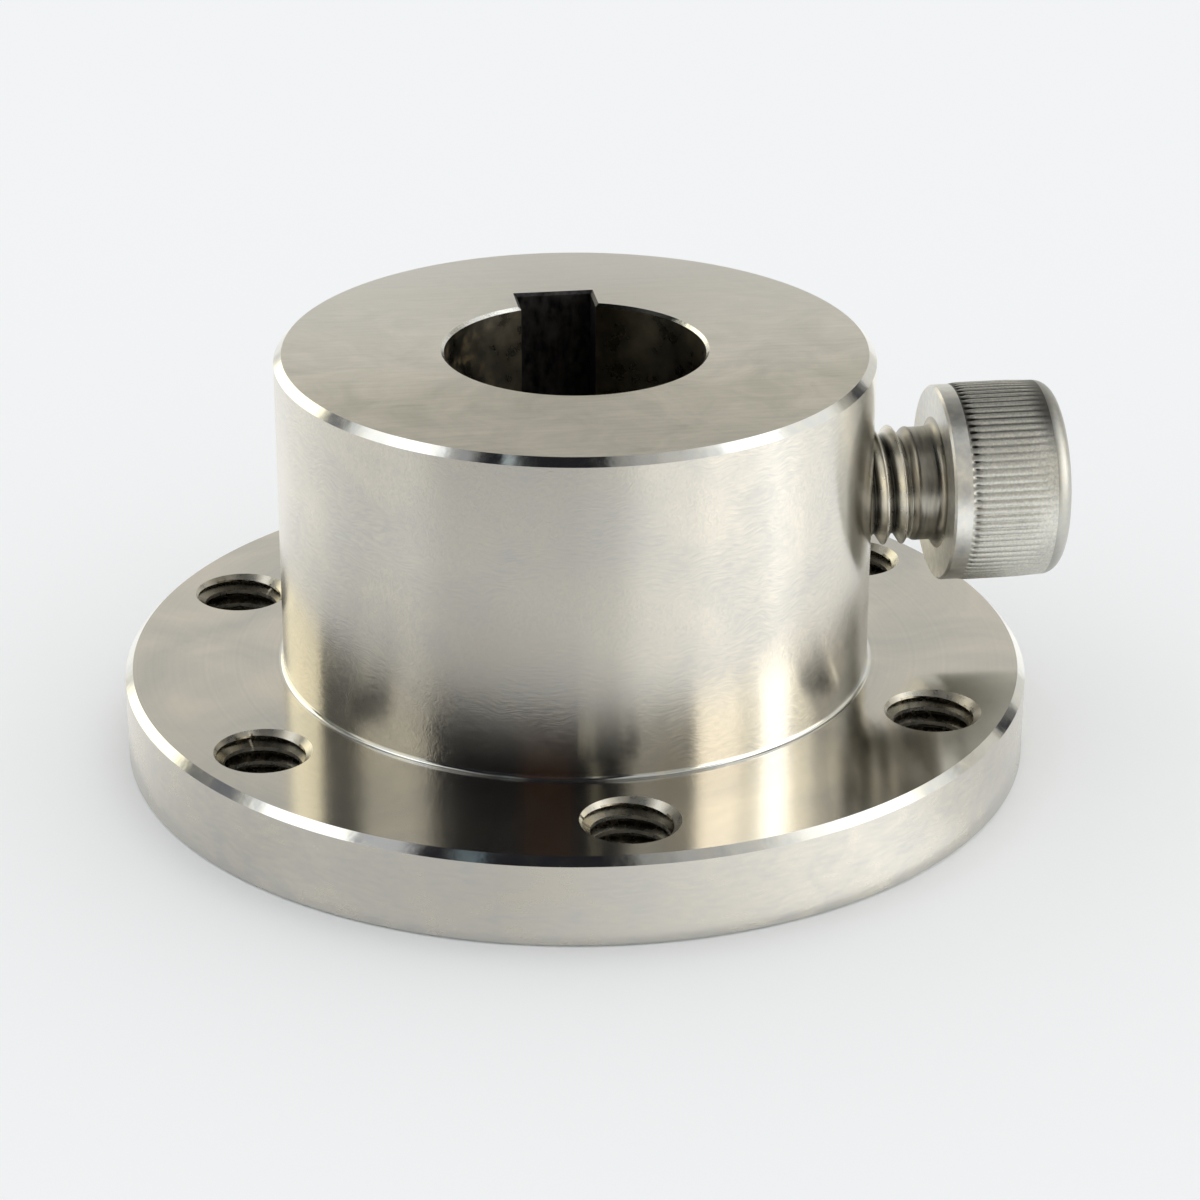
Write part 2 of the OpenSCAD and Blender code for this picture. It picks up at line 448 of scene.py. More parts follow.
def strokes(tree, place, size, shape, wander):
    """Short strokes whose direction wanders: noise of a size, squeezed along each axis by a shape, on
    coordinates that broader noise shifts by up to half of a distance each way."""
    drift = add(tree, "TexNoise", {"Vector": place, "Scale": 0.3 / size, "Detail": 1.0}, "Color")
    centred = add(tree, "VectorMath", (drift, (0.5, 0.5, 0.5)), operation="SUBTRACT")
    shifted = add(tree, "VectorMath", (centred, (wander, wander, wander), place), operation="MULTIPLY_ADD")
    drawn = add(tree, "VectorMath", (shifted, shape), operation="MULTIPLY")
    return add(tree, "TexNoise", {"Vector": drawn, "Scale": 1 / size, "Detail": 2.0})


def lapped_steel(base):
    """Stainless steel that was turned and then lapped by hand with fine paper: the grooves draw reflections
    out along the barrel, and small wavy strokes a millimetre long break them up. Painted shade darkens its
    foot."""
    material, tree, shader, place = metal("lapped_stainless_steel", "Z", 0.96)
    cloud = add(tree, "TexNoise", {"Vector": place, "Scale": 1 / (5 * MM), "Detail": 3.0, "Distortion": 0.6})
    # The real strokes lie about 0.05 mm apart. They are drawn 0.15 mm apart, so that they show.
    level_strokes = strokes(tree, place, 0.75 * MM, (1, 1, 5), 1.6 * MM)
    steep_strokes = strokes(tree, place, 0.17 * MM, (1, 1, 0.25), 1.2 * MM)
    patch = add(tree, "TexNoise", {"Vector": place, "Scale": 1 / (5 * MM), "Detail": 1.0})
    which = add(tree, "MapRange", (patch, 0.46, 0.58))
    ripple = add(tree, "Mix", {0: which, 2: level_strokes, 3: steep_strokes})
    both = add(tree, "Mix", {0: 0.5, 2: cloud, 3: ripple})
    # The strokes lie deeper on the side towards -X.
    side = add(tree, "SeparateXYZ", (place,), "X")
    worn = add(tree, "MapRange", (side, -12 * MM, 6 * MM, 1.0, 0.45))
    relief = add(tree, "Math", (ripple, worn), operation="MULTIPLY")
    dress(tree, shader, both, tones(base, 0.12), (0.17, 0.23), relief, 0.01 * MM)
    # Painted shade at the barrel's foot, in the corner by the flange: darker towards the flange, lower on the
    # side towards +X.
    lower = add(tree, "MapRange", (side, -8 * MM, 6 * MM, 0, 9 * MM))
    height = add(tree, "Math", (add(tree, "SeparateXYZ", (place,), "Z"), lower))
    cover(tree, shader, add(tree, "MapRange", (height, 11 * MM, 20 * MM, 0.26, 0)), PAINTED_FOOT_SHADE)
    return material


def faced_steel(base):
    """The flange's face: a lathe tool left fine rings on it, which draw reflections out from the axis but
    keep them sharp the other way, like a worn mirror. A few small nicks catch the light."""
    material, tree, shader, place = metal("faced_stainless_steel", "Z", 0.9)
    cloud = add(tree, "TexNoise", {"Vector": place, "Scale": 1 / (9 * MM), "Detail": 4.0, "Distortion": 1.2})
    # The rings are drawn 0.25 mm apart, coarser than the tool's own feed.
    radius = off_line(tree, place, (0, 0, 0), (1, 1, 0))
    rings = add(
        tree, "TexNoise", {"W": radius, "Scale": 1 / (0.25 * MM), "Detail": 2.0}, noise_dimensions="1D")
    spots = add(tree, "TexVoronoi", {"Vector": place, "Scale": 1 / (1.7 * MM), "Randomness": 1.0})
    nicks = add(tree, "MapRange", (spots, 0.03, 0.06, 1, 0))
    both = add(tree, "Mix", {0: 0.12, 2: cloud, 3: rings})
    dress(tree, shader, both, tones(base, 0.12), (0.1, 0.14), add(tree, "Math", (rings, nicks)), 0.0009 * MM)
    return material


def sanded_steel(base):
    """The hub's end face: sanded flat with straight strokes, dull and clouded with warm stains, and painted
    lighter towards the keyway's side, +Y: a painted sheen that stands in for a brighter reflection there."""
    material, tree, shader, place = metal("sanded_stainless_steel", "Z", 0.4)
    cloud = add(tree, "TexNoise", {
        "Vector": place, "Scale": 1 / (4.5 * MM), "Detail": 6.0, "Roughness": 0.6, "Distortion": 1.0})
    # The paper's grit is finer than this. Its strokes are drawn 0.4 mm apart, so that they show.
    grain = strokes(tree, place, 4 * MM, (1, 10, 1), 1.2 * MM)
    both = add(tree, "Mix", {0: 0.25, 2: cloud, 3: grain})
    (red, green, blue), light = tones(base, 0.26)
    dress(tree, shader, both, ((red * 1.02, green, blue * 0.88), light), (0.3, 0.42), grain, 0.012 * MM)
    # Painted sheen: the face grows lighter towards +Y.
    across = add(tree, "SeparateXYZ", (place,), "Y")
    cover(tree, shader, add(tree, "MapRange", (across, -8 * MM, 17 * MM, 0, 0.65)), PAINTED_SHEEN)
    return material


def turned_steel(base):
    """The rim of the flange: fine turned, then handled, so that a soft bloom lies over it."""
    material, tree, shader, place = metal("turned_stainless_steel", "Z", 0.8)
    bloom = add(tree, "TexNoise", {
        "Vector": place, "Scale": 1 / (3.5 * MM), "Detail": 4.0, "Distortion": 1.2})
    grain = strokes(tree, place, 1.2 * MM, (1, 1, 4), 1.2 * MM)
    both = add(tree, "Mix", {0: 0.4, 2: bloom, 3: grain})
    dress(tree, shader, both, tones(base, 0.08), (0.2, 0.3), grain, 0.008 * MM)
    return material


def speckled_steel(name, base, size, contrast, roughness, depth, bare=1.0):
    """A metal whose colour, roughness and relief follow one fine grain of a size. It is bare steel, or less
    so under a skin of oil."""
    material, tree, shader, place = metal(name)
    grain = add(tree, "TexNoise", {"Vector": place, "Scale": 1 / size, "Detail": 2.0})
    dress(tree, shader, grain, tones(base, contrast), roughness, grain, depth)
    shader.inputs["Metallic"].default_value = bare
    return material


def lipped_steel(base):
    """The bore's chamfers: bright like the other edges, but black with torn burr and oil round a point on
    the side of the keyway towards +X."""
    material, tree, shader, place = metal("burred_steel_lip")
    torn = add(tree, "TexNoise", {"Vector": place, "Scale": 1 / (0.45 * MM), "Detail": 3.0, "Roughness": 0.7})
    dress(tree, shader, torn, tones(base, 0.06), (0.14, 0.3), torn, 0.02 * MM)
    far = off_line(tree, place, (5.3 * MM, 6.9 * MM, 0), (1, 1, 0))
    ragged = add(tree, "Math", (torn, 3 * MM, far), operation="MULTIPLY_ADD")
    cover(tree, shader, add(tree, "MapRange", (ragged, 4.4 * MM, 5.8 * MM, 1, 0)), BURR)
    return material


def bored_steel(base, stain):
    """The bored wall: dull with oil that has dried brown in specks, more of them on the side towards -X.
    Where it is stained, less of the steel is bare."""
    material, tree, shader, place = metal("oiled_bored_steel", "Z", 0.7)
    specks = add(tree, "TexNoise", {
        "Vector": place, "Scale": 1 / (1.6 * MM), "Detail": 5.0, "Roughness": 0.62})
    side = add(tree, "SeparateXYZ", (place,), "X")
    least = add(tree, "MapRange", (side, -7 * MM, 1 * MM, 0.53, 0.75))
    stained = add(tree, "MapRange", (specks, least, add(tree, "Math", (least, 0.14)), 0, 0.7))
    dress(tree, shader, specks, tones(base, 0.25), (0.24, 0.36), specks, 0.02 * MM)
    cover(tree, shader, stained, stain)
    tree.links.new(add(tree, "MapRange", (stained, 0, 1, 1, 0.25)), shader.inputs["Metallic"])
    return material


def broached_steel(base):
    """The broached keyway: dark, torn and rough, with strokes along the axis."""
    material, tree, shader, place = metal("broached_steel")
    torn = strokes(tree, place, 0.5 * MM, (1, 1, 0.5), 0.3 * MM)
    dress(tree, shader, torn, tones(base, 0.55), (0.4, 0.65), torn, 0.06 * MM)
    return material


def headed_steel(name, base, contrast, roughness, grain, depth, axis=None, bands=1, grooves=None):
    """The screw's cold-formed stainless steel after tumbling: an even satin with fine grain, which is drawn
    out round the screw by a number of times, the bands. Painted shade darkens the grooves and pits of its
    thread
    and knurl: from the first to the second of two radii it thins out, and it reaches further out on top of
    the head."""
    material, tree, shader, place = metal(name, axis, 0.6)
    drawn = add(tree, "VectorMath", (place, (1, 1 / bands, 1 / bands)), operation="MULTIPLY")
    speckle = add(tree, "TexNoise", {"Vector": drawn, "Scale": 1 / grain, "Detail": 3.0})
    dress(tree, shader, speckle, tones(base, contrast), roughness, speckle, depth)
    if grooves:
        # Painted shade: below a radius the grooves and pits turn dark, further out on top of the head.
        radius = off_line(tree, place, (0, 0, SCREW_HEIGHT), (0, 1, 1))
        up = add(tree, "SeparateXYZ", (place,), "Z")
        deeper = add(tree, "MapRange", (
            up, SCREW_HEIGHT + 2.5 * MM, SCREW_HEIGHT + 5.6 * MM, 0, 0.065 * MM))
        clear = add(tree, "Math", (radius, deeper), operation="SUBTRACT")
        cover(tree, shader, add(tree, "MapRange", (clear, *grooves, 1, 0)), PAINTED_GROOVE_SHADE)
    return material


# Hub

LAPPED, FACED, TOP, SIDE, EDGE, LIP, BORED, KEYWAY, TAPPED, SHADED_GROOVE = range(10)
# How far the flange holes' thread lies down from a start at the underside
HOLE_SHIFT = 0.45 * MM
# Steps round the bore from the middle of the keyway to the corner of its floor, and to its edge
KEY_FLOOR = 15
KEY_EDGE = 19
# Directions of a line along X, with its angles counted from +Y towards +Z
SIDEWAYS = [[0, 1, 0], [0, 0, 1], [1, 0, 0]]
# The rows of a tapped thread in each pitch. Its crest is flat up to the third, and the rest is groove.
TAP_ROWS = np.array([0.0, 0.125, 0.25, 0.4, 0.5625, 0.6875, 0.79, 0.89])
TAP_CREST = 0.25


def tap_depth(phase):
    """Depth of a tapped thread at a part of its pitch: 0 on its crest and 1 on its flat root, and straight
    flanks between them."""
    return np.interp(phase, [0, TAP_CREST, 0.5625, 0.6875, 1.0], [0, 0, 1, 1, 0])


def level(height, facing):
    """A flat face at a height, whose parameters are x and y."""
    def place(plan):
        points = np.concatenate([plan, np.full(plan.shape[:-1] + (1,), height)], axis=-1)
        return points, np.broadcast_to([0.0, 0.0, facing], points.shape)
    return place


def cylinder(axis, radius, facing):
    """A round wall, whose parameters are the angle and the height."""
    def place(wall):
        angle = wall[..., 0]
        return axis.point(radius, angle, wall[..., 1]), axis.direction(facing, angle, 0)
    return place


def bore_ring(radius, half, floor):
    """The outline of the bore and its keyway, one point for each column. Counted from the middle of the
    keyway, the first steps lie on its floor, the next on its side, and the rest are spread evenly over the
    arc of the bore."""
    step = (np.arange(COLUMNS + 1) - KEY_COLUMN + COLUMNS // 2) % COLUMNS - COLUMNS // 2
    far = np.abs(step)
    side = np.where(step < 0, 1.0, -1.0)
    start = math.asin(half / radius)
    turn = start + (far - KEY_EDGE) / (COLUMNS // 2 - KEY_EDGE) * (math.pi - start)
    down = (far - KEY_FLOOR) / (KEY_EDGE - KEY_FLOOR)
    bands = [far <= KEY_FLOOR, far <= KEY_EDGE]
    x = np.select(bands, [half * far / KEY_FLOOR, half], radius * np.sin(turn))
    y = np.select(bands, [floor, floor - down * (floor - radius * math.cos(start))], radius * np.cos(turn))
    return np.stack([side * x, y], axis=1)


def bore_wall(skin, sizes, low, high, rows, columns):
    """The bore and its keyway from end to end. Each row of points is the same outline at a height, wider at
    the ends for the chamfer and the edge break. A window for the screw's hole is left open between the
    heights low and high, as many columns to each side of +X as given. Returns its edges as angles, and the
    outline at the ends."""
    top, key_break, chamfer = sizes.height, sizes.key_break, sizes.bore_chamfer
    middle = np.linspace(low, high, rows + 1)
    heights = np.concatenate([[0, key_break, chamfer], middle, [top - chamfer, top - key_break, top]])
    rings = []
    for height in heights:
        end = min(height, top - height)
        flare = max(key_break - end, 0)
        radius = sizes.bore_radius + max(chamfer - end, 0)
        ring = bore_ring(radius, sizes.key_half + flare, sizes.key_floor + flare)
        rings.append(np.column_stack([ring, np.full(COLUMNS + 1, height)]))
    points = np.stack(rings)
    last = len(heights) - 1
    tilt = math.sqrt(0.5)
    corners = KEY_COLUMN + np.array([-KEY_EDGE, -KEY_FLOOR, KEY_FLOOR, KEY_EDGE])
    for first, end, facing in zip(corners[:-1], corners[1:], ([-1, 0], [0, -1], [1, 0])):
        for start, stop, up in ((0, 1, -tilt), (1, last - 1, 0), (last - 1, last, tilt)):
            patch = points[start:stop + 1, first:end + 1]
            flat = tilt if up else 1.0
            normal = np.array([facing[0] * flat, facing[1] * flat, up])
            skin.grid(patch, np.broadcast_to(normal, patch.shape), KEYWAY)
    # From here the columns start at the keyway's far edge and run round to its near one.
    round_it = np.roll(points[:, :-1], -corners[3], axis=1)[:, :COLUMNS - 2 * KEY_EDGE + 1]
    radial = -round_it * [1, 1, 0]
    radial /= np.linalg.norm(radial, axis=-1, keepdims=True)
    hole = COLUMNS - corners[3]
    left, right = hole - columns, hole + columns
    wide = round_it.shape[1] - 1
    for start, stop, first, end, up in (
            (0, 2, 0, wide, -1), (last - 2, last, 0, wide, 1),
            (2, last - 2, 0, left, 0), (2, last - 2, right, wide, 0),
            (2, 3, left, right, 0), (last - 3, last - 2, left, right, 0)):
        rows_used, columns_used = slice(start, stop + 1), slice(first, end + 1)
        facing = radial[rows_used, columns_used] + [0, 0, up]
        skin.grid(round_it[rows_used, columns_used], facing, LIP if up else BORED)
    edges = round_it[3, [left, right]]
    return np.arctan2(edges[:, 1], edges[:, 0]), points[0, :, :2]


def flange_hole(skin, sizes, turn):
    """One tapped hole, with its sixth of the flange's two faces. The hole's wall is a screw thread that gives
    way to a 90 degree cone at each end: at every point the wider of the two counts."""
    rows = SECTOR // 4
    axis = Axis(HUB_AXIS.point(sizes.hole_circle, turn, 0))
    angle = turn + TURN / 4 - window_turn(SECTOR, rows)
    mouth = axis.point(sizes.hole_sink, angle, 0)[:, :2]
    thick = sizes.flange_thickness
    inner = sizes.barrel_radius + sizes.corner
    faces = (
        (thick, 1.0, sizes.flange_radius - sizes.chamfer, FACED),
        (0.0, -1.0, sizes.flange_radius - sizes.foot_chamfer, TOP))
    for height, facing, outer, finish in faces:
        line = window((turn - TURN / 12, inner), (turn + TURN / 12, outer), SECTOR, rows)
        outline = np.stack([line[:, 1] * np.cos(line[:, 0]), line[:, 1] * np.sin(line[:, 0])], axis=1)
        holed(skin, mouth, outline, level(height, facing), finish)
    spin = angle[::2]
    place, phase = helix(0, thick, sizes.hole_pitch, spin, TAP_ROWS, HOLE_SHIFT)
    thread = sizes.hole_crest + (sizes.hole_root - sizes.hole_crest) * tap_depth(phase)
    radius = np.maximum(thread, sizes.hole_sink - np.minimum(place, thick - place))
    tapped_wall(skin, axis, radius, spin, place, (phase >= TAP_CREST) & (radius <= thread))


def screw_hole(skin, sizes, screw, bore_window, barrel_window):
    """The tapped hole of the lock screw, from the bore's wall to the barrel's. Both ends follow those round
    walls: a point at a radius round the hole lies where the wall is. The thread fades out at the ends and
    gives way to a cone outside. Each window is the columns, rows, edges and heights of a wall's opening."""
    axis = Axis([0, 0, SCREW_HEIGHT], SIDEWAYS)
    cone_start = sizes.barrel_radius - screw.hole_sink

    def mouth_radius(angle, wall):
        """Radius of the hole's edge, which is the thread's own in the bore. Where the cone meets the barrel
        it is found by going back and forth between the two."""
        radius = np.full(angle.shape, screw.hole_radius)
        if wall == sizes.barrel_radius:
            for _ in range(40):
                radius = screw.hole_radius + np.sqrt(wall ** 2 - (radius * np.cos(angle)) ** 2) - cone_start
        return radius

    for wall, facing, finish, (columns, rows, edges, heights) in (
            (sizes.bore_radius, -1, BORED, bore_window), (sizes.barrel_radius, 1, LAPPED, barrel_window)):
        angle = window_turn(columns, rows)
        radius = mouth_radius(angle, wall)
        across = radius * np.cos(angle)
        hole = np.stack([np.arcsin(across / wall), SCREW_HEIGHT + radius * np.sin(angle)], axis=1)
        outline = window((edges[0], heights[0]), (edges[1], heights[1]), columns, rows)
        holed(skin, hole, outline, cylinder(HUB_AXIS, wall, facing), finish)
    spin = angle[::2]
    inside = np.sqrt(sizes.bore_radius ** 2 - (screw.hole_radius * np.cos(spin)) ** 2)
    mouth = mouth_radius(spin, sizes.barrel_radius)
    outside = np.sqrt(sizes.barrel_radius ** 2 - (mouth * np.cos(spin)) ** 2)
    place, phase = helix(inside, outside, screw.pitch, spin, TAP_ROWS)
    groove = 0.35 * MM
    deep = groove * tap_depth(phase)
    deep = deep * smoothstep(place - inside, 0, 1 * MM) * smoothstep(outside - place, 0.2 * MM, 1 * MM)
    radius = screw.hole_radius + np.maximum(deep, place - cone_start)
    tapped_wall(skin, axis, radius, spin, place, (phase >= TAP_CREST) & (place < cone_start))


def make_hub(context):
    """The whole hub as one closed surface, and the finishes of its faces."""
    sizes = context.scene.hub_sizes
    screw = context.scene.screw_sizes
    looks = context.scene.finishes
    skin = Skin()
    round_all = column_angles(0, COLUMNS)
    flange, barrel, top, face = sizes.flange_radius, sizes.barrel_radius, sizes.height, sizes.flange_thickness
    chamfer, foot, corner = sizes.chamfer, sizes.foot_chamfer, sizes.corner

    skin.profile(HUB_AXIS, [(flange - foot, 0), (flange, foot)], round_all, EDGE)
    skin.profile(HUB_AXIS, [(flange, foot), (flange, face - chamfer)], round_all, SIDE)
    skin.profile(HUB_AXIS, [(flange, face - chamfer), (flange - chamfer, face)], round_all, EDGE)
    skin.arc(HUB_AXIS, (barrel + corner, face + corner), corner,
             np.linspace(-math.pi / 2, -math.pi, 7), round_all, -1, EDGE)
    skin.profile(HUB_AXIS, [(barrel, top - chamfer), (barrel - chamfer, top)], round_all, EDGE)
    for hole in range(6):
        flange_hole(skin, sizes, (hole + 0.5) * TURN / 6)

    # The barrel's wall, with a window left open for the screw's hole
    columns, rows, half = 60, 36, 7 * MM
    low, high = SCREW_HEIGHT - half, SCREW_HEIGHT + half
    heights = np.concatenate([[face + corner], np.linspace(low, high, rows + 1), [top - chamfer]])
    wall = [(barrel, height) for height in heights]
    skin.profile(HUB_AXIS, wall, column_angles(columns // 2, COLUMNS - columns // 2), LAPPED)
    beside = column_angles(-columns // 2, columns // 2)
    skin.profile(HUB_AXIS, wall[:2], beside, LAPPED)
    skin.profile(HUB_AXIS, wall[-2:], beside, LAPPED)
    barrel_window = (columns, rows, beside[[0, -1]], (low, high))

    columns, rows, half = 76, 20, 6.5 * MM
    low, high = SCREW_HEIGHT - half, SCREW_HEIGHT + half
    edges, ring = bore_wall(skin, sizes, low, high, rows, columns // 2)
    screw_hole(skin, sizes, screw, (columns, rows, edges, (low, high)), barrel_window)

    # The end face, and the middle of the underside
    for radius, height, facing in ((barrel - chamfer, top, 1.0), (barrel + corner, 0.0, -1.0)):
        plan = np.stack([ring, HUB_AXIS.point(radius, round_all, 0)[:, :2]])
        skin.grid(*level(height, facing)(plan), TOP)

    finishes = [
        lapped_steel(looks.turned), faced_steel(looks.turned), sanded_steel(looks.turned),
        turned_steel(looks.turned),
        # A freshly cut chamfer: the brightest steel on the part, nearly a mirror, with faint chatter
        speckled_steel("cut_steel_edge", looks.cut, 1.1 * MM, 0.04, (0.06, 0.16), 0.008 * MM),
        lipped_steel(looks.cut), bored_steel(looks.bored, looks.stain), broached_steel(looks.keyway),
        # Thread cut by a tap: satin under a skin of oil on its crests and countersinks
        speckled_steel(
            "tapped_stainless_steel", looks.tapped, 0.6 * MM, 0.12, (0.25, 0.35), 0.0015 * MM, 0.85),
        # Its grooves get a darker colour, painted shade, and are a little smoother.
        speckled_steel("thread_groove_painted_shade", looks.groove, 0.6 * MM, 0.12, (0.2, 0.32), 0.0015 * MM)]
    return skin.build("keyed_flange_hub", finishes)


# Lock screw

THREAD, NECK, HEAD, KNURL, RIM, SOCKET = range(6)
# Columns round the shank
SHANK_COLUMNS = 120
# Place of the thread's first crest over the tip, on the side towards +Y
FIRST_CREST = 0.02 * MM
# The thread gives way to the plain neck between these places over the tip, and the neck's finish starts here.
NECK_BLEND = (9.6 * MM, 10.5 * MM)
NECK_START = 9.9 * MM


def make_screw(context):
    """The lock screw as one closed surface, turned round a line along X that starts at its tip."""
    sizes = context.scene.screw_sizes
    looks = context.scene.finishes
    skin = Skin()
    axis = Axis([SCREW_LOW.x, 0, SCREW_HEIGHT], SIDEWAYS)
    coarse = np.linspace(0, TURN, SHANK_COLUMNS + 1)
    under, end = sizes.shank, sizes.shank + sizes.head_height

    # Shank: a rolled thread with rounded root, from the tip's chamfer to the plain neck under the head
    fillet = 0.6 * MM
    tip = sizes.crest - sizes.tip
    breaks = np.array([0, 0.04, 0.08, 0.16, 0.26, 0.36, 0.42, 0.5, 0.58, 0.64, 0.74, 0.84, 0.92, 0.96])
    place, phase = helix(0, under - fillet, sizes.pitch, coarse, breaks, -FIRST_CREST)
    # Over half a pitch the thread falls from its narrow crest down a straight flank to its rounded root.
    wave = np.interp(np.abs((phase + 0.5) % 1 - 0.5), [0, 0.055, 0.39, 0.5], [1, 0.97, 0.05, 0])
    thread = sizes.root + (sizes.crest - sizes.root) * wave
    thread = thread + (sizes.neck - thread) * smoothstep(place, *NECK_BLEND)
    points, normals = rolled(axis, np.minimum(thread, tip + place), coarse, place)
    plain = int(np.argmax(place.mean(axis=1) > NECK_START))
    skin.grid(points[:plain + 1], normals[:plain + 1], THREAD)
    skin.grid(points[plain:], normals[plain:], NECK)
    skin.profile(axis, [(0, 0), (tip, 0)], coarse, THREAD)

    # Under the head, a quarter of an ellipse swells the neck out to the bearing face. It takes the neck's
    # darker finish, which paints the shade under the head.
    turns = np.linspace(0, math.pi / 2, 9)[:, None]
    swell = 0.6 * MM
    points = axis.point(
        sizes.neck + swell * (1 - np.cos(turns)), coarse[None, :], under - fillet * (1 - np.sin(turns)))
    facing = axis.direction(fillet * np.cos(turns), coarse[None, :], -swell * np.sin(turns))
    skin.grid(points, facing, NECK)

    # Head: each rib's crest, its flank, its groove's floor and the next flank, all round
    part = np.array([0, 0.3, 0.45, 0.6, 0.7, 0.85])
    ribs = sizes.ribs
    fine = ((np.arange(ribs)[:, None] + part[None, :]) * TURN / ribs).reshape(-1)
    fine = np.append(fine, TURN)
    relief = np.append(np.tile([1, 1, 0, -1, -1, 0], ribs), 1)
    chamfer = 0.15 * MM
    lip = sizes.head - chamfer
    skin.profile(axis, [(lip, under), (sizes.head, under + chamfer)], fine, HEAD)
    skin.profile(axis, [(sizes.head, under + chamfer), (sizes.head, under + sizes.band)], fine, HEAD)
    # The ribs rise in half a millimetre and fade out over the last two. The knurling wheel pressed a small
    # pit into the start of each groove.
    rows = np.array([0, 0.08, 0.18, 0.3, 0.45, 0.65, 1, 2, 3.4, 4.2, 4.8, 5.3, 5.7]) * MM
    rise = smoothstep(rows, 0, 0.65 * MM) * (1 - smoothstep(rows, 3.6 * MM, 5.7 * MM))
    pit = 0.07 * MM * smoothstep(rows, 0, 0.3 * MM) * (1 - smoothstep(rows, 0.3 * MM, 0.8 * MM))
    high = (sizes.rib_crest - sizes.head) * rise[:, None]
    deep = (sizes.rib_root - sizes.head) * rise[:, None] - pit[:, None]
    radius = sizes.head + np.where(relief > 0, high, np.where(relief < 0, deep, (high + deep) / 2))
    place = (under + sizes.band + rows)[:, None]
    skin.grid(*rolled(axis, radius, fine[None, :], place), KNURL)
    skin.arc(axis, (sizes.head - sizes.rim, end - sizes.rim), sizes.rim,
             np.linspace(0, math.pi / 2, 11), fine, 1, RIM)

    # The flat rings join the head's fine columns to the coarse ones of the shank and the socket.
    hexagon = sizes.socket_flat / np.cos((coarse + TURN / 12) % (TURN / 6) - TURN / 12)
    mouth = sizes.socket_flat + sizes.socket_lead
    for radius, small, height, facing, finish in (
            (lip, sizes.neck + swell, under, -1, HEAD),
            (sizes.head - sizes.rim, mouth, end, 1, RIM)):
        outer = axis.point(radius, fine, height)
        inner = axis.point(small, coarse, height)
        skin.fan(outer, inner, np.broadcast_to([facing, 0.0, 0.0], outer.shape),
                 np.broadcast_to([facing, 0.0, 0.0], inner.shape), finish)

    # Socket: the lead-in's cone runs down to the hexagon, and a drilled cone closes the bottom. Each step has
    # its normal's parts out from the line and along it, and the hexagon's walls turn theirs by whole sixths.
    depth, flat = sizes.socket_depth, sizes.socket_flat
    point = flat * math.tan(TURN / 12)
    steps = [
        (hexagon, end - (mouth - hexagon), -1, 1), (hexagon, end - depth, -1, 0),
        (flat, end - depth, 0, 1), (0, end - depth - point, -point, flat)]
    radius, height = np.full(coarse.shape, mouth), np.full(coarse.shape, end)
    for next_radius, next_height, out, up in steps:
        next_radius = np.broadcast_to(next_radius, coarse.shape)
        next_height = np.broadcast_to(next_height, coarse.shape)
        points = axis.point(np.stack([radius, next_radius]), coarse, np.stack([height, next_height]))
        facing = np.broadcast_to(axis.direction(out, coarse, up), points.shape)
        if up == 0:
            middle_turn = (coarse[1:] + coarse[:-1]) / 2
            wall = axis.direction(out, np.round(middle_turn * 6 / TURN) * TURN / 6, up)
            facing = np.broadcast_to(wall[None, :, None, :], (1, SHANK_COLUMNS, 4, 3))
        skin.grid(points, facing, SOCKET)
        radius, height = next_radius, next_height

    # The thread and the knurl take painted shade in their grooves.
    finishes = [
        headed_steel("rolled_stainless_thread", looks.thread, 0.06, (0.26, 0.34), 0.5 * MM, 0.004 * MM,
                     grooves=(sizes.root, sizes.root + 0.28 * MM)),
        # The neck's darker colour is partly painted shade under the head.
        headed_steel("dull_stainless_neck", looks.neck, 0.4, (0.26, 0.4), 0.5 * MM, 0.03 * MM, bands=8),
        headed_steel("headed_stainless_steel", looks.screw, 0.1, (0.36, 0.44), 0.5 * MM, 0.002 * MM, "X"),
        headed_steel("knurled_stainless_steel", looks.knurl, 0.16, (0.42, 0.52), 0.16 * MM, 0.014 * MM,
                     grooves=(6.42 * MM, 6.48 * MM)),
        # A darker copy of the head's steel, which paints a dimmer highlight on the rim
        headed_steel("tumbled_stainless_rim", looks.rim, 0.06, (0.38, 0.48), 0.3 * MM, 0.003 * MM),
        headed_steel("pressed_socket_steel", looks.screw, 0.06, (0.25, 0.4), 0.4 * MM, 0.005 * MM)]
    return skin.build("knurled_lock_screw", finishes)
